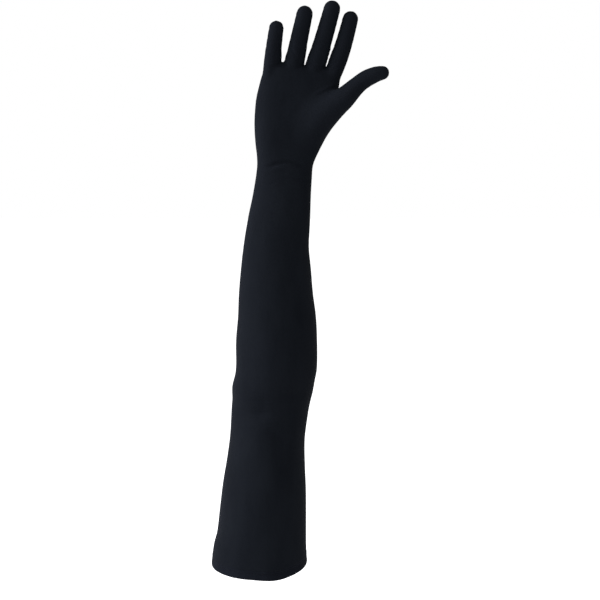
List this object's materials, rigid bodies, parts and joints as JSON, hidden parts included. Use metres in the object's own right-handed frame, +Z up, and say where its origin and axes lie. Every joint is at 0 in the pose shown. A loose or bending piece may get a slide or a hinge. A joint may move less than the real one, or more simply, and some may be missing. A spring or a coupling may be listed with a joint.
{
  "type": "long stretch glove",
  "caption": "Right-hand opera glove of black stretch knit, shaped as worn on a raised arm with the hand open, hemmed above the elbow.",
  "frame": {"origin": "middle of the arm opening, on the hem's lower edge, where the upper arm holds the glove up", "axes": "+Z up the arm to the fingertips, +X to the thumb side, -Y to the palm side"},
  "size_m": [0.182, 0.0938, 0.5936],
  "materials": {
    "stretch_knit": "fine matt stretch knit with a slight sheen",
    "hem_knit": "the same knit, doubled, with one row of stitching"
  },
  "bodies": {
    "root": {"palm_panel": "stretch_knit", "back_panel": "stretch_knit", "hem_band": "hem_knit"}
  },
  "joints": []
}
